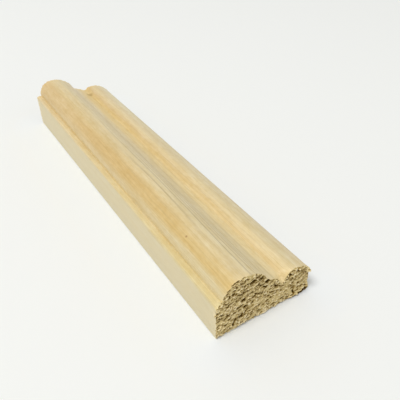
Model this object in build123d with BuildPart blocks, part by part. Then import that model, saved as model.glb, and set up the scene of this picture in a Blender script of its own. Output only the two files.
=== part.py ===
from build123d import *

import os

# A sample length of bolection moulding: one stick of planed softwood lying on its flat back.
# X runs across the section from the thick edge to the thin edge, Y along the grain, Z up from the back.
# The origin is the middle of the back face. Sizes are in millimetres.

# Length along the grain
length = 150.0

# Widths of the members of the section, from the thick edge to the thin edge
ledge_width = 2.1
round_rise_width = 6.2
round_fall_width = 9.5
shelf_width = 6.0
bead_rise_width = 3.9
bead_fall_width = 7.5

# Heights above the back
ledge_height = 14.2
round_height = 21.0
shelf_height = 14.6
groove_height = 11.7
bead_height = 13.2
thin_edge_height = 9.0

# Hollow where the shelf runs into the bead
groove_radius = 1.2

# Corners broken by sanding: the thick edge's two, and the thin edge's lower one, which is worn rounder
thick_arris_radius = 0.4
thin_arris_radius = 1.0

# Lines of the section across the width, centred on the back
width = ledge_width + round_rise_width + round_fall_width + shelf_width + bead_rise_width + bead_fall_width
thick_edge = -width / 2
round_start = thick_edge + ledge_width
round_crest = round_start + round_rise_width
round_end = round_crest + round_fall_width
groove = round_end + shelf_width
bead_crest = groove + bead_rise_width
thin_edge = bead_crest + bead_fall_width

# Corner points of the section
back_thick = (thick_edge, 0)
back_thin = (thin_edge, 0)
ledge_outer = (thick_edge, ledge_height)
ledge_inner = (round_start, ledge_height)
round_top = (round_crest, round_height)
shelf_top = (round_end, shelf_height)
groove_bottom = (groove, groove_height)
bead_top = (bead_crest, bead_height)
thin_top = (thin_edge, thin_edge_height)

with BuildPart() as moulding:
    with BuildSketch(Plane.XZ) as section:
        with BuildLine() as outline:
            Polyline(thin_top, back_thin, back_thick, ledge_outer, ledge_inner)
            # The large round: a tight quarter up from the ledge, then a slower fall to the shelf
            TangentArc(round_top, ledge_inner, tangent=(-1, 0))
            TangentArc(round_top, shelf_top, tangent=(1, 0))
            # The shelf slopes straight down to the groove
            Line(shelf_top, groove_bottom)
            # The small bead: up out of the groove, then rolling over to the thin edge
            TangentArc(bead_top, groove_bottom, tangent=(-1, 0))
            TangentArc(bead_top, thin_top, tangent=(1, 0))
        make_face()
        for corner in (back_thick, ledge_outer):
            fillet(section.vertices().sort_by_distance(corner)[0], radius=thick_arris_radius)
        fillet(section.vertices().sort_by_distance(back_thin)[0], radius=thin_arris_radius)
        fillet(section.vertices().sort_by_distance(groove_bottom)[0], radius=groove_radius)
    extrude(amount=length / 2, both=True)

moulding.part.label = "bolection_moulding"

os.makedirs("parts", exist_ok=True)
export_step(moulding.part, "parts/bolection_moulding.step")
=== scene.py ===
import math

import bpy
import numpy as np
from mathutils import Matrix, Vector
from mathutils.geometry import delaunay_2d_cdt


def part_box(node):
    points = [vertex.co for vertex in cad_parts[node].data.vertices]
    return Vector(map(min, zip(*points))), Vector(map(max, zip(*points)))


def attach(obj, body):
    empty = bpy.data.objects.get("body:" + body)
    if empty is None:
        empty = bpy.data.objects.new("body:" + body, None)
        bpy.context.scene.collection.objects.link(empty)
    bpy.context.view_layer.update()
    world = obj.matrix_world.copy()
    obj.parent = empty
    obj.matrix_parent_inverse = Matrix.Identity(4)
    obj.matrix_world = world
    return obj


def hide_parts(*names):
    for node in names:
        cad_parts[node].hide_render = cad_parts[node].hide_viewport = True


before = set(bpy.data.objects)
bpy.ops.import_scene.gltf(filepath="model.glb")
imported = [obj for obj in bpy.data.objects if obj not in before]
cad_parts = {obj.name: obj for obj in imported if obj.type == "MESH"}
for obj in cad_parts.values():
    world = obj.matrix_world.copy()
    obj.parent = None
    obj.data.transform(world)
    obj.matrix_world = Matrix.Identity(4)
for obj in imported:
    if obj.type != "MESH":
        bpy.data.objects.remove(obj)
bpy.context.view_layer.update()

# One stick of bare planed softwood with both ends torn by the saw.
# X runs across the section from the thick edge, Y along the grain from the near end, Z up from the back.
# Places on an end are (across, up) in millimetres from the back's thick corner.
NODE = "bolection_moulding"
MM = 0.001
low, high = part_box(NODE)
CORNER = np.array([low.x, low.z])
WIDTH = (high.x - low.x) / MM
LENGTH = (high.y - low.y) / MM

# Numbers of the stick's two ends and of its two materials
NEAR, FAR = 0, 1
PLANED, TORN = 0, 1

# Mesh spacing, in millimetres
OUTLINE_STEP = 0.26
END_STEP = 0.165
STATION_STEP = 2.0
END_STATIONS = (0.0, 0.25, 0.55, 0.9, 1.4, 2.0, 2.8, 4.0)

# How far in from an end the torn rim drags the long faces with it, and wear makes them paler, in millimetres
RIM_REACH = 2.4
WORN_REACH = 1.5

# The rim's share of the tearing, which grows to the whole over this many millimetres in from the rim
RIM_SHARE = 0.25
RIM_DEPTH = 0.3

# Two pieces of the outline belong to one curve unless they turn or change length by more than this
CORNER_TURN = math.radians(16)
CORNER_STRETCH = 2.5

# Edges that turn by more than this are shaded sharp
SHARP_ANGLE = math.radians(50)

# Growth rings are arcs about the pith, which lies below the stick
PITH = np.array([14.0, -75.0])
RING_SPACING = 0.62

# Seeds of the near and the far end's tearing
END_SEEDS = (21, 41)

# Tearing, in millimetres: depth of pits, height of flecks, spacing of their rows, length of frayed fibres,
# and height of the coarse and the fine grain between them
PIT_DEPTH = 0.8
FLECK_HEIGHT = 0.3
TEAR_ROW = 0.72
FRAY_LENGTH = 0.12
COARSE_GRAIN = 0.12
FINE_GRAIN = 0.06

# Strength of the tearing at the back of an end, and what the top and the top's rim add to it; the top rim's
# share deepens and darkens a band just inside the rim, partly as painted shade under it
BACK_TEARING = 0.5
TOP_TEARING = 0.85
TOP_RIM_TEARING = 0.9

# A pit is at its darkest from this share of its depth down; its darkness is partly brown torn wood and
# partly painted shade
DARK_SHARE = 1 / 2.2

# Holes torn out of the near end: across, up, width and height
NEAR_HOLES = (
    (12.3, 17.1, 2.4, 1.4), (14.0, 18.2, 1.8, 0.9), (15.3, 16.9, 1.7, 0.9), (17.7, 14.2, 1.8, 1.5),
    (8.5, 14.6, 2.6, 1.0), (5.4, 16.0, 1.7, 0.9), (9.1, 11.5, 1.9, 0.9), (7.7, 9.0, 1.8, 0.9),
    (4.0, 8.3, 1.7, 0.9), (1.8, 8.3, 1.3, 0.8), (4.8, 1.7, 1.6, 0.9), (24.7, 2.3, 1.8, 0.9),
    (26.9, 11.0, 1.7, 0.9), (15.6, 13.7, 1.6, 0.8), (12.7, 12.7, 1.5, 0.8), (21.6, 9.6, 1.5, 0.8),
    (28.2, 7.0, 1.4, 0.8), (31.6, 9.4, 1.3, 0.8), (33.1, 0.6, 4.6, 2.1), (30.8, 0.3, 4.6, 1.4),
)
NEAR_CRACK = ((10.9, 6.2), (8.5, 4.8), (6.5, 4.4), (6.0, 2.8))

# Damage in the plane of the near end, in millimetres: a splinter off the thick edge, a burr in the corner
# behind the ledge, and chips off the ledge and out of the groove
SPLINTER_UP = 10.8
SPLINTER_LENGTH = 0.8
BURR_HEIGHT = 1.3
BURR_TOP = 16.02
LEDGE_CHIP_DEPTH = 0.7
GROOVE_CHIP_ACROSS = 23.9
GROOVE_CHIP_DEPTH = 2.2

# Wood standing out past the near saw cut, in millimetres: towards the thick edge, along the back, at the
# lower thin corner and in the splinter that curls off the thin edge; and how far the arris is broken away
FRONT_STEP = 0.3
BACK_BULGE = 0.3
CORNER_LIP = 0.65
CURL_LENGTH = 0.9
ARRIS_BREAK = 0.5

# The far saw cut, in millimetres: its slant, a chip where the round falls, and a tongue in the groove
FAR_SLANT = 1.0
FAR_CHIP_DEPTH = 0.4
FAR_TONGUE = 0.8

# Height of the raised grain on the planed faces, in millimetres
RAISED_GRAIN = 0.02

# Smoother patches of the ends: across, up, and their reach each way
SMOOTH_PATCHES = ((14.5, 6.8, 2.6, 1.4), (23.5, 5.0, 4.5, 2.6))

# Dark spots on the planed faces: place in the part's frame and reach, in millimetres, and tint; the first is
# a speck in the wood, the second is painted shade in the groove beside the far end's burr
SPECK_AND_SHADE_SPOTS = (
    ((-12.7, -52.0, 20.0), 0.5, (0.62, 0.50, 0.40, 1)),
    ((5.9, 68.3, 12.0), 2.0, (0.70, 0.64, 0.50, 1)),
)

# Camera found from the photograph, in the part's frame, in millimetres and degrees
CAMERA_PLACE = (-65.42, -140.25, 115.86)
CAMERA_TURN = (51.42, 0.07, -33.21)
CAMERA_LENS = 42.16
CAMERA_SENSOR = 36.0


def smoothstep(start, end, value):
    t = np.clip((value - start) / (end - start), 0, 1)
    return t * t * (3 - 2 * t)


def bump(value, middle, reach):
    """A soft bump of height 1 about the middle."""
    return np.exp(-((value - middle) / reach) ** 2)


def lattice_noise(u, v, seed):
    """Smooth noise from -1 to 1 over a plane, with one random value per unit square, the same each run."""
    table = np.random.default_rng(seed).uniform(-1, 1, (128, 128))
    column = np.floor(u).astype(int)
    row = np.floor(v).astype(int)
    across = smoothstep(0, 1, u - column)
    up = smoothstep(0, 1, v - row)

    def corner(i, j):
        return table[(column + i) % 128, (row + j) % 128]

    bottom = corner(0, 0) * (1 - across) + corner(1, 0) * across
    top = corner(0, 1) * (1 - across) + corner(1, 1) * across
    return bottom * (1 - up) + top * up


def section_loop(mesh):
    """The CAD section as a loop of (x, z) points: up the thick edge, over the top, home along the back."""
    near = min(v.co.y for v in mesh.vertices)
    follows = {}
    for face in mesh.polygons:
        if abs(face.normal.y) > 0.5:
            continue
        corners = [mesh.vertices[i].co for i in face.vertices]
        for here, there in zip(corners, corners[1:] + corners[:1]):
            if max(here.y, there.y) < near + 0.01 * MM:
                follows[round(here.x, 7), round(here.z, 7)] = (round(there.x, 7), round(there.z, 7))
    loop = [min(follows, key=lambda point: (point[1], point[0]))]
    while follows[loop[-1]] != loop[0]:
        loop.append(follows[loop[-1]])
    points = np.array(loop)
    after = np.roll(points, -1, axis=0)
    area = (points[:, 0] * after[:, 1] - after[:, 0] * points[:, 1]).sum()
    return points if area < 0 else np.roll(points[::-1], 1, axis=0)


def evenly(points, step):
    """Points at an even spacing on a smooth curve through the given points, without the last one."""
    chord = np.r_[0, np.cumsum(np.linalg.norm(np.diff(points, axis=0), axis=1))]
    at = np.linspace(0, chord[-1], max(1, round(chord[-1] / step)) + 1)[:-1]
    if len(points) == 2:
        return points[0] + np.outer(at / chord[-1], points[1] - points[0])
    slope = np.gradient(points, chord, axis=0, edge_order=2)
    i = np.clip(np.searchsorted(chord, at, side="right") - 1, 0, len(points) - 2)
    span = (chord[i + 1] - chord[i])[:, None]
    t = (at - chord[i])[:, None] / span
    start = points[i] * (1 + 2 * t) * (1 - t) ** 2 + slope[i] * span * t * (1 - t) ** 2
    end = points[i + 1] * t * t * (3 - 2 * t) + slope[i + 1] * span * t * t * (t - 1)
    return start + end


def fine_outline(loop):
    """The section's loop with smooth arcs and its corners kept, starting at the back's thick corner."""
    piece = np.roll(loop, -1, axis=0) - loop
    length = np.linalg.norm(piece, axis=1)
    angle = np.arctan2(piece[:, 1], piece[:, 0])
    turn = np.abs((angle - np.roll(angle, 1) + math.pi) % (2 * math.pi) - math.pi)
    stretch = np.abs(np.log(length / np.roll(length, 1)))
    corners = np.flatnonzero((turn > CORNER_TURN) | (stretch > math.log(CORNER_STRETCH)))
    runs = []
    for first, last in zip(corners, np.r_[corners[1:], corners[0] + len(loop)]):
        run = loop[np.arange(first, last + 1) % len(loop)]
        runs.append(evenly(run, OUTLINE_STEP * MM))
    outline = np.concatenate(runs)
    start = np.argmin(outline[:, 0] + outline[:, 1])
    return np.roll(outline, -start, axis=0)


def outward(outline):
    """Unit normals of the outline, pointing away from the wood."""
    along = np.roll(outline, -1, axis=0) - np.roll(outline, 1, axis=0)
    normal = np.c_[-along[:, 1], along[:, 0]]
    return normal / np.linalg.norm(normal, axis=1)[:, None]


def ring_place(u, v):
    """Distance from the pith in millimetres, with the rings' own waver."""
    return np.hypot(u - PITH[0], v - PITH[1]) + 0.5 * lattice_noise(u / 6, v / 6, 11)


def dashes(place, seed, length, height, pitch):
    """How far each place lies inside short torn dashes strewn along the growth rings, 0 outside them."""
    rng = np.random.default_rng(seed)
    u, v = place.T
    ring = ring_place(u, v)
    rough = 1 + 0.5 * lattice_noise(u / 0.35, v / 0.25, seed + 1)
    inside = np.zeros(len(place))
    first_ring = -PITH[1] - 3
    last_ring = np.hypot(WIDTH - PITH[0], high.z / MM - PITH[1])
    for level in np.arange(first_ring, last_ring, TEAR_ROW):
        row = np.flatnonzero(np.abs(ring - level) < 1.5 * TEAR_ROW)
        for middle in np.arange(-pitch, WIDTH + pitch, pitch):
            across = middle + pitch * rng.uniform(-0.5, 0.5)
            up = level + TEAR_ROW * rng.uniform(-0.4, 0.4)
            half_length = 0.5 * length * rng.uniform(0.5, 1.2)
            half_height = 0.5 * height * rng.uniform(0.6, 1.2)
            tilt = rng.normal(0.2, 0.12)
            strength = rng.uniform(-0.3, 2.0)
            over = u[row] - across
            reach = (over / half_length) ** 2 + ((ring[row] - up - tilt * over) / half_height) ** 2
            inside[row] = np.maximum(inside[row], strength * smoothstep(1.2, 0.75, reach * rough[row]))
    return inside


def near_holes(place):
    """How deep each place lies inside the larger holes and the crack of the near end, 0 outside them."""
    u, v = place.T
    inside = np.zeros(len(place))
    for across, up, width, height in NEAR_HOLES:
        reach = ((u - across) / (0.5 * width)) ** 2 + ((v - up) / (0.5 * height)) ** 2
        inside = np.maximum(inside, 1.4 * smoothstep(1.2, 0.4, reach))
    for start, end in zip(NEAR_CRACK, NEAR_CRACK[1:]):
        start, end = np.array(start), np.array(end)
        share = np.clip((place - start) @ (end - start) / ((end - start) @ (end - start)), 0, 1)
        gap = np.linalg.norm(place - start - share[:, None] * (end - start), axis=1)
        inside = np.maximum(inside, smoothstep(0.5, 0.2, gap))
    return inside


def curl_share(place):
    """How far each place lies inside the splinter that curls off the near end's thin edge, from 0 to 1."""
    u, v = place.T
    return bump(u, WIDTH - 0.6, 0.8) * bump(v, 9.0, 0.7)


def torn_end(place, end, rim_gap=0.0):
    """Depth below the saw cut, and shares of pit and pale fleck, at places this far from an end's rim."""
    u, v = place.T
    seed = END_SEEDS[end]
    share = RIM_SHARE + (1 - RIM_SHARE) * smoothstep(0, RIM_DEPTH, rim_gap)
    patchy = 0.25 * lattice_noise(u / 7, v / 5, seed + 3)
    rougher = BACK_TEARING + TOP_TEARING * smoothstep(4, 17, v) + patchy
    rougher = rougher + TOP_RIM_TEARING * bump(rim_gap, 0.7, 0.7) * smoothstep(12, 16, v)
    for across, up, width, height in SMOOTH_PATCHES:
        rougher = rougher - 0.6 * bump(u, across, width) * bump(v, up, height)
    sunk = dashes(place, seed, length=1.5, height=0.45, pitch=1.35)
    sunk = np.minimum(sunk * np.maximum(rougher, 0.1), 1)
    fleck = dashes(place, seed + 5, length=1.1, height=0.4, pitch=1.5)
    if end == NEAR:
        sunk = np.maximum(sunk, near_holes(place)) * (1 - curl_share(place))
        fleck = np.maximum(fleck, curl_share(place))
    sunk = share * sunk
    pit = np.minimum(sunk / DARK_SHARE, 1)
    fleck = share * np.minimum(fleck, 1) * (1 - pit)
    coarse = COARSE_GRAIN * lattice_noise(u / 0.5, v / 0.25, seed + 7)
    fine = FINE_GRAIN * lattice_noise(u / 0.22, v / 0.18, seed + 8)
    return coarse + fine + PIT_DEPTH * sunk - FLECK_HEIGHT * fleck, pit, fleck


def stand_out(place, end):
    """How far the wood of an end stands out past the saw cut, in millimetres."""
    u, v = place.T
    if end == FAR:
        slant = FAR_SLANT * (smoothstep(8, 3, u) - smoothstep(29, 32.5, u))
        chip = FAR_CHIP_DEPTH * bump(u, 14.8, 1.2) * smoothstep(14, 17, v)
        tongue = FAR_TONGUE * bump(u, 25.5, 1.2) * bump(v, 12.0, 1.5)
        return slant - chip + tongue
    front = FRONT_STEP * smoothstep(WIDTH, WIDTH - 5, u)
    bulge = BACK_BULGE * smoothstep(11, 16, u) * smoothstep(31, 28, u) * smoothstep(1.4, 0.0, v)
    lip = CORNER_LIP * smoothstep(26, 30, u) * smoothstep(4.0, 1.0, v)
    broken = ARRIS_BREAK * smoothstep(31, 28, u) * smoothstep(0.8, 0.0, v)
    return front + bulge + lip - broken + CURL_LENGTH * curl_share(place)


def rim_shift(place, normal, end):
    """How far the outline moves in the plane of an end, in millimetres: frayed fibres, and near damage."""
    u, v = place.T
    lap = np.arange(len(place)) * OUTLINE_STEP
    frayed = FRAY_LENGTH * (0.6 + lattice_noise(lap / 0.6, 0 * lap, END_SEEDS[end] + 11))
    shift = normal * frayed[:, None]
    if end == NEAR:
        splinter = SPLINTER_LENGTH * bump(v, SPLINTER_UP, 0.6) * (u < 1)
        burr = smoothstep(0.3, 1.9, u) * np.clip((BURR_TOP - v) / 1.8, 0, 1) * (v > 13.9) * (u < 4)
        ledge_chip = LEDGE_CHIP_DEPTH * bump(u, 0.0, 0.9) * (v > 12)
        groove_chip = GROOVE_CHIP_DEPTH * bump(u, GROOVE_CHIP_ACROSS, 1.6) * (v > 5)
        # The burr has no frayed fibres, which would make the outline cross itself
        shift *= 1 - burr[:, None]
        shift[:, 0] -= splinter
        shift[:, 1] += BURR_HEIGHT * burr - ledge_chip - groove_chip
    return shift


def inner_points(outline, rng):
    """Jittered points inside the section, and how far each lies from its outline."""
    step = END_STEP * MM
    across = np.arange(outline[:, 0].min(), outline[:, 0].max(), step)
    up = np.arange(outline[:, 1].min(), outline[:, 1].max(), step * math.sqrt(0.75))
    x, z = np.meshgrid(across, up)
    x[1::2] += step / 2
    points = np.c_[x.ravel(), z.ravel()] + rng.uniform(-0.3, 0.3, (x.size, 2)) * step
    inside = np.zeros(len(points), bool)
    gap = np.full(len(points), np.inf)
    for a, b in zip(outline, np.roll(outline, -1, axis=0)):
        crosses = (a[1] > points[:, 1]) != (b[1] > points[:, 1])
        rise = np.where(crosses, (points[:, 1] - a[1]) / ((b[1] - a[1]) or 1), 0)
        inside ^= crosses & (points[:, 0] < a[0] + rise * (b[0] - a[0]))
        share = np.clip(((points - a) @ (b - a)) / ((b - a) @ (b - a)), 0, 1)
        gap = np.minimum(gap, np.linalg.norm(points - a - share[:, None] * (b - a), axis=1))
    kept = inside & (gap > 0.55 * step)
    return points[kept], gap[kept]


def end_triangles(outline, inner):
    """Triangles over an end, facing the near side; the outline's points are numbered before the inner."""
    points = np.concatenate([outline, inner])
    flat = [Vector(point) for point in points]
    rim = list(range(len(outline)))
    made = delaunay_2d_cdt(flat, [], [rim[::-1]], 1, 1e-9)
    faces, origins = made[2], made[3]
    triangles = np.array([[origins[corner][0] for corner in face] for face in faces])
    a, b, c = (points[triangles[:, k]] for k in range(3))
    ab, ac = b - a, c - a
    turned = ab[:, 0] * ac[:, 1] < ab[:, 1] * ac[:, 0]
    triangles[turned] = triangles[turned][:, ::-1]
    return triangles


def station_places():
    """Distances from the near end of the rings of points along the stick, close together at both ends."""
    last = END_STATIONS[-1]
    middle = np.linspace(last, LENGTH - last, round((LENGTH - 2 * last) / STATION_STEP))
    return np.r_[END_STATIONS[:-1], middle, LENGTH - np.array(END_STATIONS[-2::-1])]


def long_faces(outline, stations):
    """Points of the planed faces by station, with raised grain and both rims dragged by the tearing."""
    place = (outline - CORNER) / MM
    normal = outward(outline)
    lap = np.arange(len(outline)) * OUTLINE_STEP
    row, column = np.meshgrid(stations, lap, indexing="ij")
    raised = RAISED_GRAIN * lattice_noise(column / 0.9, row / 25, 61)
    across_up = outline + raised[..., None] * normal * MM
    along = np.repeat(stations[:, None], len(outline), axis=1)
    for end, gap in ((NEAR, stations), (FAR, LENGTH - stations)):
        pull = np.clip(1 - gap / RIM_REACH, 0, 1) ** 2
        depth = torn_end(place, end)[0] - stand_out(place, end)
        along += (1 if end == NEAR else -1) * np.outer(pull, depth)
        across_up += pull[:, None, None] * rim_shift(place, normal, end) * MM
    # The back lies flat on the floor, so no fibre reaches below it
    across_up[..., 1] = np.maximum(across_up[..., 1], low.z)
    return np.stack([across_up[..., 0], low.y + along * MM, across_up[..., 1]], axis=-1)


def profile_share(outline):
    """Share of the way over the profile: 0 to 1 from the back's thick corner to its thin one, then home."""
    lap = np.r_[0, np.cumsum(np.linalg.norm(np.diff(outline, axis=0), axis=1))]
    turn = np.argmax(outline[:, 0] - outline[:, 1])
    return np.interp(lap, [0, lap[turn], lap[-1]], [0, 1, 0])


def torn_cap(rim, end):
    """Inner points of a torn end, its triangles, and the points' shares of pit and fleck."""
    inner, gap = inner_points(rim, np.random.default_rng(END_SEEDS[end]))
    place = (inner - CORNER) / MM
    depth, pit, fleck = torn_end(place, end, gap / MM)
    inward = (depth - stand_out(place, end)) * MM
    along = low.y + inward if end == NEAR else high.y - inward
    triangles = end_triangles(rim, inner)
    if end == FAR:
        triangles = triangles[:, ::-1]
    return np.c_[inner[:, 0], along, inner[:, 1]], triangles, pit, fleck


def mesh_object(vertices, faces, materials, layers):
    """A smooth-shaded object with each face's material number and named values for each point."""
    mesh = bpy.data.meshes.new("moulding")
    mesh.from_pydata(vertices.tolist(), [], faces)
    for name, values in layers.items():
        layer = mesh.attributes.new(name, "FLOAT", "POINT")
        layer.data.foreach_set("value", values.astype(np.float32))
    mesh.polygons.foreach_set("material_index", materials.astype(np.int32))
    mesh.shade_smooth()
    mesh.set_sharp_from_angle(angle=SHARP_ANGLE)
    stick = bpy.data.objects.new("moulding", mesh)
    bpy.context.scene.collection.objects.link(stick)
    return stick


def build_moulding(outline):
    """The stick as one closed mesh: fine long faces, and a torn face at each end."""
    count = len(outline)
    stations = station_places()
    sides = long_faces(outline, stations)
    this = np.arange(count)
    row = np.arange(len(stations) - 1)[:, None] * count
    after = np.roll(this, -1)
    quads = np.stack([row + this, row + after, row + count + after, row + count + this], -1)
    vertices = [sides.reshape(-1, 3)]
    faces = quads.reshape(-1, 4).tolist()
    materials = [np.full(len(faces), PLANED)]
    side_pits = np.zeros((len(stations), count))
    side_flecks = np.zeros((len(stations), count))
    cap_pits, cap_flecks = [], []
    for end, ring in ((NEAR, 0), (FAR, len(stations) - 1)):
        rim = sides[ring][:, [0, 2]]
        side_pits[ring], side_flecks[ring] = torn_end((rim - CORNER) / MM, end)[1:]
        inner, triangles, pit, fleck = torn_cap(rim, end)
        index = np.r_[ring * count + this, sum(len(v) for v in vertices) + np.arange(len(inner))]
        faces += index[triangles].tolist()
        materials.append(np.full(len(triangles), TORN))
        vertices.append(inner)
        cap_pits.append(pit)
        cap_flecks.append(fleck)
    cap_count = sum(len(v) for v in vertices[1:])
    worn = np.exp(-np.minimum(stations, LENGTH - stations) / WORN_REACH)
    layers = {
        "across": np.r_[np.tile(profile_share(outline), len(stations)), np.full(cap_count, 0.5)],
        "rim": np.r_[np.repeat(worn, count), np.ones(cap_count)],
        "pit": np.r_[side_pits.ravel(), np.concatenate(cap_pits)],
        "fleck": np.r_[side_flecks.ravel(), np.concatenate(cap_flecks)],
    }
    return mesh_object(np.concatenate(vertices), faces, np.concatenate(materials), layers)


def node(tree, kind, values=(), **settings):
    """A shader node; values go to its inputs by name or number, as numbers or as sockets to link."""
    made = tree.nodes.new(kind)
    for name, value in settings.items():
        setattr(made, name, value)
    for name, value in dict(values).items():
        if isinstance(value, bpy.types.NodeSocket):
            tree.links.new(value, made.inputs[name])
        else:
            made.inputs[name].default_value = value
    return made


def attribute(tree, name):
    return node(tree, "ShaderNodeAttribute", attribute_name=name).outputs["Fac"]


def math_node(tree, operation, first, second):
    return node(tree, "ShaderNodeMath", {0: first, 1: second}, operation=operation).outputs[0]


def vector_node(tree, operation, first, second=(0, 0, 0), output="Vector"):
    made = node(tree, "ShaderNodeVectorMath", {0: first, 1: second}, operation=operation)
    return made.outputs[output]


def remap(tree, value, from_low, from_high, to_low=0.0, to_high=1.0):
    values = {0: value, 1: from_low, 2: from_high, 3: to_low, 4: to_high}
    return node(tree, "ShaderNodeMapRange", values).outputs[0]


def stretched_noise(tree, place, scale, **values):
    """Noise from about 0 to 1, with its own scale along each axis, per millimetre."""
    moved = vector_node(tree, "MULTIPLY", place, scale)
    return node(tree, "ShaderNodeTexNoise", {"Vector": moved, "Scale": 1.0, **values}).outputs[0]


def ramp(tree, factor, stops):
    """A colour ramp over a factor, from (position, linear colour) stops."""
    made = node(tree, "ShaderNodeValToRGB", {0: factor})
    elements = made.color_ramp.elements
    while len(elements) < len(stops):
        elements.new(0.5)
    for element, (position, colour) in zip(elements, stops):
        element.position = position
        element.color = (*colour, 1)
    return made.outputs["Color"]


def mixed(tree, factor, first, second, blend="MIX"):
    made = node(tree, "ShaderNodeMix", {0: factor, 6: first, 7: second}, data_type="RGBA", blend_type=blend)
    return made.outputs[2]


# Wood tints, linear; several stand partly for light, as their notes say
# SHADED_FOOT is painted shade: darker than WALL at the wall's foot, against the light the floor reflects
# onto it
SHADED_FOOT = (0.68, 0.59, 0.378)
# WALL and GREY are greyer than the other tints partly as painted sheen on faces seen at a slant; GREY also
# lightens the shaded right flank of the round
WALL = (0.71, 0.61, 0.382)
GREY = (0.71, 0.60, 0.355)
LEDGE = (0.74, 0.62, 0.33)
WARM_LEDGE = (0.735, 0.59, 0.33)
CREAM = (0.75, 0.625, 0.37)
LIGHT = (0.76, 0.62, 0.35)
BRIGHT = (0.79, 0.65, 0.375)
# PAINTED_GROOVE_HIGHLIGHT is a painted highlight that lightens the groove against its shade at the near end
PAINTED_GROOVE_HIGHLIGHT = (0.86, 0.71, 0.40)
PALE = (0.715, 0.56, 0.29)
PINK = (0.745, 0.62, 0.385)
HONEY = (0.67, 0.495, 0.24)
GOLDEN = (0.685, 0.51, 0.22)
# PAINTED_WARM_HIGHLIGHT is the warmer painted highlight in the groove towards the far end
PAINTED_WARM_HIGHLIGHT = (0.80, 0.62, 0.29)
MILKY = (0.79, 0.69, 0.44)

# Tints of the torn ends, linear
DARK_TAN = (0.605, 0.467, 0.203)
LIGHT_TAN = (0.81, 0.657, 0.333)
# FLECK pales the raised flecks, partly pale torn fibre and partly painted highlight on their lit tops
FLECK = (0.93, 0.805, 0.51, 1)
# PIT_EDGE and PIT darken pits and holes with their depth, partly the brown of torn wood and partly painted
# shade
PIT_EDGE = (0.38, 0.245, 0.06, 1)
PIT = (0.10, 0.05, 0.004, 1)

# Tints that the wood's colour is multiplied by: early and late wood, the amber stretch, and the worn rims
EARLY_WOOD = (1.03, 1.03, 1.03)
LATE_WOOD = (0.74, 0.71, 0.67)
AMBER = (0.96, 0.925, 0.85, 1)
WORN = (1.10, 1.09, 1.06, 1)

# Places along the stick, in millimetres in the part's frame, over which the near end's tints turn into the
# far end's, the amber stretch starts and ends, and the ring lines fade
TINT_CHANGE = (-65.0, 60.0)
AMBER_START = (-60.0, -20.0)
AMBER_END = (50.0, 15.0)
RINGS_FADE = (40.0, -20.0)

# Tints round the profile by share, at the near end and at the far end, with painted sheen, shade and
# highlight where the tints' notes say
NEAR_TINTS = (
    (0.03, SHADED_FOOT), (0.10, WALL), (0.19, WALL), (0.205, LEDGE), (0.235, LEDGE), (0.255, CREAM), (0.285, GREY),
    (0.315, GOLDEN), (0.35, GOLDEN), (0.385, LIGHT), (0.415, CREAM), (0.435, GREY), (0.62, GREY),
    (0.64, PAINTED_GROOVE_HIGHLIGHT), (0.66, PAINTED_GROOVE_HIGHLIGHT), (0.685, PALE), (0.71, BRIGHT), (0.738, BRIGHT), (0.76, GREY),
    (0.79, CREAM), (0.82, CREAM), (0.84, HONEY), (1.0, WALL),
)
FAR_TINTS = (
    (0.03, SHADED_FOOT), (0.10, WALL), (0.19, WALL), (0.205, WARM_LEDGE), (0.235, WARM_LEDGE), (0.275, HONEY),
    (0.35, HONEY), (0.38, PALE), (0.425, LIGHT), (0.455, GREY), (0.48, PINK), (0.60, PINK),
    (0.635, PAINTED_WARM_HIGHLIGHT), (0.655, PAINTED_WARM_HIGHLIGHT), (0.67, GOLDEN), (0.69, GOLDEN), (0.705, HONEY), (0.735, LIGHT),
    (0.77, PINK), (0.80, MILKY), (1.0, WALL),
)


def multiplied(tree, factor, colour, by):
    return mixed(tree, factor, colour, by, "MULTIPLY")


def band_tints(tree, across, along):
    """Broad bands of tint round the profile, with a stretch of the round's near side turning amber."""
    far_share = remap(tree, along, *TINT_CHANGE)
    colour = mixed(tree, far_share, ramp(tree, across, NEAR_TINTS), ramp(tree, across, FAR_TINTS))
    black, white = (0, 0, 0), (1, 1, 1)
    band = ramp(tree, across, [(0.26, black), (0.30, white), (0.345, white), (0.41, black)])
    starts = remap(tree, along, *AMBER_START)
    ends = remap(tree, along, *AMBER_END)
    amber = math_node(tree, "MULTIPLY", math_node(tree, "MULTIPLY", starts, ends), band)
    return multiplied(tree, amber, colour, AMBER)


def ring_lines(tree, place, across, along):
    """Colour to multiply by for the dark late wood of the growth rings, and how much of it shows."""
    pith = (low.x / MM + PITH[0], 0, low.z / MM + PITH[1])
    flat = vector_node(tree, "MULTIPLY", place, (1, 0, 1))
    ring = vector_node(tree, "DISTANCE", flat, pith, "Value")
    waver = stretched_noise(tree, place, (0.15, 0.02, 0.15), Detail=2.0)
    ring = math_node(tree, "ADD", ring, math_node(tree, "MULTIPLY", waver, 0.9))
    phase = math_node(tree, "FRACT", math_node(tree, "DIVIDE", ring, RING_SPACING), 0.0)
    late = ramp(tree, phase, [(0.45, EARLY_WOOD), (0.75, LATE_WOOD), (0.9, EARLY_WOOD)])
    none, faint, full = (0, 0, 0), (0.25, 0.25, 0.25), (1, 1, 1)
    stops = [(0.2, none), (0.25, faint), (0.405, faint), (0.425, full), (0.475, full), (0.5, faint)]
    fade = remap(tree, along, *RINGS_FADE, 0.3, 1.0)
    return late, math_node(tree, "MULTIPLY", ramp(tree, across, stops), fade)


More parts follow.
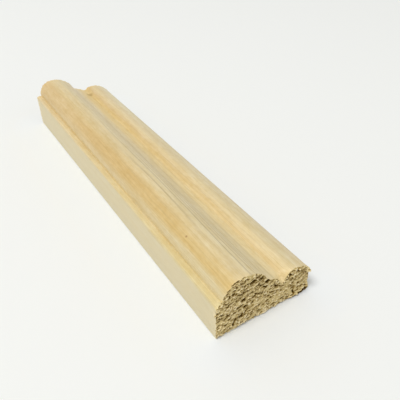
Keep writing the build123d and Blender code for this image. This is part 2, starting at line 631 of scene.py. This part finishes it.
def planed_colour(tree, place, fibre):
    """Colour of the planed faces: bands round the profile, broken by streaks, fibres and ring lines."""
    wander = stretched_noise(tree, place, (0.25, 0.02, 0.25), Detail=3.0)
    across = math_node(tree, "ADD", attribute(tree, "across"), remap(tree, wander, 0.3, 0.7, -0.01, 0.01))
    along = node(tree, "ShaderNodeSeparateXYZ", {0: place}).outputs["Y"]
    colour = band_tints(tree, across, along)
    calm_wall = remap(tree, across, 0.17, 0.21, 0.35, 1.0)
    streak = stretched_noise(tree, place, (0.55, 0.03, 0.55), Detail=4.0, Roughness=0.6)
    mottle = stretched_noise(tree, place, (0.6, 0.14, 0.6), Detail=3.0, Roughness=0.65)
    blotch = stretched_noise(tree, place, (0.95, 0.45, 0.95), Detail=3.0, Roughness=0.6)
    for layer, dark, light in (
        (streak, (0.97, 0.945, 0.88), (1.025, 1.04, 1.085)),
        (mottle, (0.965, 0.94, 0.86), (1.03, 1.045, 1.10)),
        (blotch, (0.965, 0.94, 0.87), (1.025, 1.04, 1.09)),
        (fibre, (0.91, 0.895, 0.85), (1.05, 1.06, 1.085)),
    ):
        colour = multiplied(tree, calm_wall, colour, ramp(tree, layer, [(0.3, dark), (0.7, light)]))
    late, shown = ring_lines(tree, place, across, along)
    colour = multiplied(tree, shown, colour, late)
    # The second spot paints shade into the groove beside the far end's burr
    for centre, reach, tint in SPECK_AND_SHADE_SPOTS:
        gap = vector_node(tree, "DISTANCE", place, centre, "Value")
        colour = multiplied(tree, remap(tree, gap, reach, 0.3 * reach), colour, tint)
    worn = math_node(tree, "MULTIPLY", attribute(tree, "rim"), 0.8)
    return multiplied(tree, worn, colour, WORN)


def torn_colour(tree, place):
    """Colour of the torn ends: tan wood, pits darkened partly as painted shade, and pale flecks partly as
    painted highlight.
    """
    cells = stretched_noise(tree, place, (2.2, 2.2, 4.0), Detail=2.0)
    tan = ramp(tree, cells, [(0.3, DARK_TAN), (0.7, LIGHT_TAN)])
    colour = mixed(tree, attribute(tree, "fleck"), tan, FLECK)
    pit = attribute(tree, "pit")
    colour = mixed(tree, remap(tree, pit, 0.0, 0.5), colour, PIT_EDGE)
    return mixed(tree, remap(tree, pit, 0.4, 1.0), colour, PIT)


def new_material(name):
    """A material with its shader, and a socket that gives places in millimetres."""
    material = bpy.data.materials.new(name)
    material.use_nodes = True
    tree = material.node_tree
    place = node(tree, "ShaderNodeTexCoord").outputs["Object"]
    place = node(tree, "ShaderNodeVectorMath", {0: place, "Scale": 1 / MM}, operation="SCALE").outputs[0]
    return material, tree, tree.nodes["Principled BSDF"].inputs, place


def planed_softwood():
    material, tree, shader, place = new_material("planed_softwood")
    fibre = stretched_noise(tree, place, (3.2, 0.12, 3.2), Detail=4.0, Roughness=0.65)
    tree.links.new(planed_colour(tree, place, fibre), shader["Base Color"])
    tree.links.new(remap(tree, fibre, 0.3, 0.7, 0.40, 0.52), shader["Roughness"])
    relief = node(tree, "ShaderNodeBump", {"Strength": 0.5, "Distance": 0.04 * MM, "Height": fibre})
    tree.links.new(relief.outputs[0], shader["Normal"])
    return material


def torn_softwood():
    material, tree, shader, place = new_material("torn_softwood")
    tree.links.new(torn_colour(tree, place), shader["Base Color"])
    shader["Roughness"].default_value = 0.9
    shader["Specular IOR Level"].default_value = 0.1
    return material


# Light: the key lamp's direction, its distance and size in metres, its power and colour; then the even light
# from all round, and the backdrop's colour
KEY_FROM = Vector((-0.43, -0.08, 0.89))
KEY_DISTANCE = 2.5
KEY_SIZE = 0.8
KEY_WATTS = 31.2
KEY_COLOUR = (1.0, 0.99, 0.975)
AMBIENT = (0.555, 0.56, 0.565, 1)
BACKDROP = (0.90, 0.90, 0.87, 1)

# Floor: its side, the distances over which it fades into the backdrop, in metres, and its colour
FLOOR_SIZE = 6.0
FLOOR_FADE = (0.6, 1.4)
FLOOR_COLOUR = (0.905, 0.913, 0.885, 1)

# Up to this many metres from the stick the floor is cooler, to offset the wood's warm reflected light
COOL_REACH = 0.016
COOL_COLOUR = (0.888, 0.918, 0.936, 1)


def build_floor():
    """A pale floor, cooler beside the stick, that the camera sees fade into the backdrop far from it."""
    bpy.ops.mesh.primitive_plane_add(size=FLOOR_SIZE)
    floor = bpy.context.object
    floor.name = "floor"
    material = bpy.data.materials.new("pale_floor")
    material.use_nodes = True
    tree = material.node_tree
    shader = tree.nodes["Principled BSDF"]
    shader.inputs["Roughness"].default_value = 0.9
    shader.inputs["Specular IOR Level"].default_value = 0.2
    place = node(tree, "ShaderNodeNewGeometry").outputs["Position"]
    # The origin is the middle of the back, so the stick's high corner gives its reach to both sides
    past = vector_node(tree, "SUBTRACT", vector_node(tree, "ABSOLUTE", place), high)
    past = vector_node(tree, "MAXIMUM", past)
    gap = vector_node(tree, "LENGTH", past, output="Value")
    colour = mixed(tree, remap(tree, gap, COOL_REACH, 0.0), FLOOR_COLOUR, COOL_COLOUR)
    tree.links.new(colour, shader.inputs["Base Color"])
    distance = vector_node(tree, "LENGTH", place, output="Value")
    seen = node(tree, "ShaderNodeLightPath").outputs["Is Camera Ray"]
    fade = math_node(tree, "MULTIPLY", remap(tree, distance, *FLOOR_FADE), seen)
    backdrop = node(tree, "ShaderNodeEmission", {"Color": BACKDROP}).outputs[0]
    surface = node(tree, "ShaderNodeMixShader", {0: fade, 1: shader.outputs[0], 2: backdrop}).outputs[0]
    tree.links.new(surface, tree.nodes["Material Output"].inputs["Surface"])
    floor.data.materials.append(material)


def build_world():
    """Even light from all round; the camera and reflections see a pale backdrop instead."""
    scene = bpy.context.scene
    scene.view_settings.view_transform = "Standard"
    world = bpy.data.worlds.new("studio")
    scene.world = world
    world.use_nodes = True
    tree = world.node_tree
    rays = node(tree, "ShaderNodeLightPath").outputs
    seen = math_node(tree, "MAXIMUM", rays["Is Camera Ray"], rays["Is Glossy Ray"])
    seen = math_node(tree, "MAXIMUM", seen, rays["Is Transmission Ray"])
    tree.links.new(mixed(tree, seen, AMBIENT, BACKDROP), tree.nodes["Background"].inputs["Color"])
    tree.nodes["Background"].inputs["Strength"].default_value = 1.0


def build_key():
    lamp = bpy.data.lights.new("key", "AREA")
    lamp.size = KEY_SIZE
    lamp.energy = KEY_WATTS
    lamp.color = KEY_COLOUR
    key = bpy.data.objects.new("key", lamp)
    key.location = KEY_FROM.normalized() * KEY_DISTANCE
    key.rotation_euler = KEY_FROM.to_track_quat("Z", "Y").to_euler()
    bpy.context.scene.collection.objects.link(key)


def build_camera():
    data = bpy.data.cameras.new("camera")
    data.lens = CAMERA_LENS
    data.sensor_width = CAMERA_SENSOR
    data.clip_start = MM
    camera = bpy.data.objects.new("camera", data)
    camera.location = [place * MM for place in CAMERA_PLACE]
    camera.rotation_euler = [math.radians(turn) for turn in CAMERA_TURN]
    bpy.context.scene.collection.objects.link(camera)
    bpy.context.scene.camera = camera


stick = build_moulding(fine_outline(section_loop(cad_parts[NODE].data)))
stick.data.materials.append(planed_softwood())
stick.data.materials.append(torn_softwood())
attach(stick, "root")
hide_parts(NODE)
build_floor()
build_world()
build_key()
build_camera()
